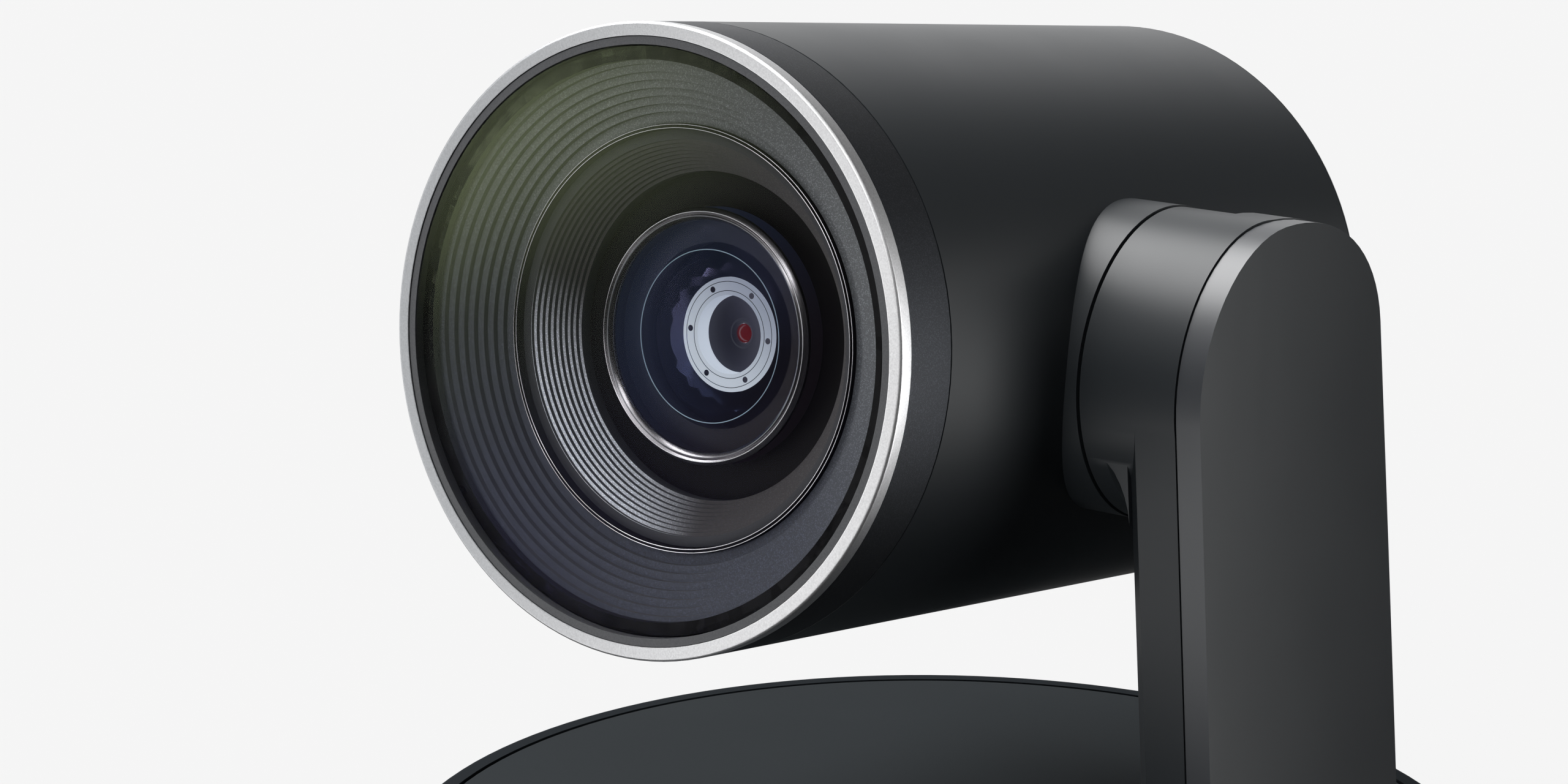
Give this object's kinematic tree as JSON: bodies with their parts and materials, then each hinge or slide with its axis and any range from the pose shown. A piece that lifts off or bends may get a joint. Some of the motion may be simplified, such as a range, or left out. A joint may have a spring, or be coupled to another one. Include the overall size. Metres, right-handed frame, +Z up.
{
  "type": "pan-tilt-zoom camera",
  "caption": "Pan-tilt-zoom conference camera: drum base with turntable, single side arm and tilting barrel head with a deep ridged lens hood behind flat glass.",
  "frame": {"origin": "centre of the rubber foot's underside, on the pan axis", "axes": "+Z up along the pan axis; the lens looks along -Y at rest; the side arm stands on +X; the sockets are on +Y"},
  "size_m": [0.152, 0.152, 0.1896],
  "materials": {
    "charcoal_shell": "satin charcoal moulded plastic",
    "bezel_satin": "fine grained charcoal",
    "silver_ring": "bead blasted, clear anodised",
    "frame_grey": "fine textured dark grey",
    "coated_glass": "flat, multi coated, green and violet reflection",
    "lens_glass": "polished, blue coating",
    "gasket_black": "matt black",
    "baffle_black": "fine textured light-trap black",
    "lens_black": "satin black",
    "lens_trim": "black anodised with bright turned edges",
    "lens_pale": "turned, pale satin",
    "table_top": "matt charcoal",
    "base_plastic": "matt charcoal",
    "floor_plastic": "fine textured dark grey",
    "foot_rubber": "matt",
    "brass_insert": "turned",
    "steel": "turned and ground",
    "screw_steel": "blackened",
    "cast_frame": "die cast",
    "board_green": "solder mask",
    "port_metal": "plated",
    "panel_black": "fine textured black",
    "signal_smoke": "smoked, infrared clear",
    "button_grey": "satin",
    "motor_steel": "plated can",
    "gear_resin": "natural acetal",
    "bush_polymer": "filled bearing polymer",
    "carriage_black": "glass filled"
  },
  "bodies": {
    "base": {"base_shell": "base_plastic", "floor_plate": "floor_plastic", "foot_ring": "foot_rubber", "tripod_insert": "brass_insert", "base_screws": "screw_steel", "base_chassis": "cast_frame", "main_board": "board_green", "port_panel": "panel_black", "usb_port": "port_metal", "video_port": "port_metal", "power_jack": "panel_black", "control_port": "port_metal", "lock_plate": "steel", "signal_window": "signal_smoke", "pan_motor": "motor_steel", "pan_bearing_outer": "steel"},
    "pair_button": {"pair_button": "button_grey"},
    "pan_pinion": {"pan_pinion": "gear_resin"},
    "pan_balls": {"pan_bearing_balls": "steel"},
    "turntable": {"turntable": "table_top", "pan_bearing_inner": "steel", "pan_spindle": "cast_frame", "spindle_nut": "steel", "pan_gear": "gear_resin", "spindle_screws": "screw_steel", "arm_shell": "charcoal_shell", "arm_cover": "charcoal_shell", "arm_foot": "cast_frame", "foot_screws": "screw_steel", "tilt_motor": "motor_steel", "idler_axle": "steel", "tilt_bushes": "bush_polymer"},
    "tilt_pinion": {"tilt_pinion": "gear_resin"},
    "tilt_idler": {"idler_gear": "gear_resin"},
    "head": {"tilt_gear": "gear_resin", "tilt_shaft": "cast_frame", "shaft_screws": "screw_steel", "head_shell": "charcoal_shell", "rear_cap": "charcoal_shell", "front_bezel": "bezel_satin", "front_ring": "silver_ring", "window_frame": "frame_grey", "front_window": "coated_glass", "window_gasket": "gasket_black", "outer_baffle": "baffle_black", "baffle_lip": "lens_trim", "inner_baffle": "baffle_black", "lens_face_plate": "lens_black", "lens_cell": "lens_black", "front_retainer": "lens_trim", "front_element": "lens_glass", "second_element": "lens_glass", "inner_barrel": "lens_pale", "lens_chassis": "carriage_black", "guide_rods": "steel", "image_board": "board_green"},
    "zoom_group": {"zoom_group": "carriage_black"},
    "focus_group": {"focus_group": "carriage_black"},
    "zoom_screw": {"lead_screw_zoom": "steel"},
    "focus_screw": {"lead_screw_focus": "steel"}
  },
  "joints": [
    {"name": "pan", "type": "hinge", "parent": "base", "child": "turntable", "pos_m": [0, 0, 0.05], "axis": [0, 0, 1], "range_deg": [-90, 90]},
    {"name": "tilt", "type": "hinge", "parent": "turntable", "child": "head", "pos_m": [-0.007, 0, 0.1425], "axis": [1, 0, 0], "range_deg": [-42.5, 97.5]},
    {"name": "pan_pinion_turn", "type": "hinge", "parent": "base", "child": "pan_pinion", "pos_m": [-0.03383, -0.01231, 0.05], "axis": [0, 0, 1], "range_deg": [-450.45, 450.45]},
    {"name": "pan_balls_orbit", "type": "hinge", "parent": "base", "child": "pan_balls", "pos_m": [0, 0, 0.0395], "axis": [0, 0, 1], "range_deg": [-40.95, 40.95]},
    {"name": "idler_turn", "type": "hinge", "parent": "turntable", "child": "tilt_idler", "pos_m": [0.0484, 0, 0.1161], "axis": [1, 0, 0], "range_deg": [-117.12, 51.05]},
    {"name": "tilt_pinion_turn", "type": "hinge", "parent": "turntable", "child": "tilt_pinion", "pos_m": [0.0484, 0, 0.0993], "axis": [1, 0, 0], "range_deg": [-127.63, 292.79]},
    {"name": "zoom", "type": "slide", "parent": "head", "child": "zoom_group", "axis": [0, 0.9914, -0.1305], "range_m": [0, 0.008]},
    {"name": "focus", "type": "slide", "parent": "head", "child": "focus_group", "axis": [0, 0.9914, -0.1305], "range_m": [-0.0015, 0.0015]},
    {"name": "zoom_screw_turn", "type": "hinge", "parent": "head", "child": "zoom_screw", "pos_m": [-0.007, -0.0122, 0.12646], "axis": [0, 0.9914, -0.1305], "range_deg": [0, 1441.44]},
    {"name": "focus_screw_turn", "type": "hinge", "parent": "head", "child": "focus_screw", "pos_m": [-0.007, -0.00763, 0.16116], "axis": [0, 0.9914, -0.1305], "range_deg": [-270.27, 270.27]},
    {"name": "pair_button_press", "type": "slide", "parent": "base", "child": "pair_button", "axis": [0, -1, 0], "range_m": [0, 0.0008], "stiffness_N_per_m": 600, "springref_m": -0.0006}
  ],
  "couplings": [
    {"joint": "pan_pinion_turn", "follows": "pan", "ratio": -5},
    {"joint": "pan_balls_orbit", "follows": "pan", "ratio": 0.45454},
    {"joint": "idler_turn", "follows": "tilt", "ratio": -1.2},
    {"joint": "tilt_pinion_turn", "follows": "tilt", "ratio": 3},
    {"joint": "zoom_screw_turn", "follows": "zoom", "rad_per_m": 3141.6},
    {"joint": "focus_screw_turn", "follows": "focus", "rad_per_m": 3141.6}
  ]
}
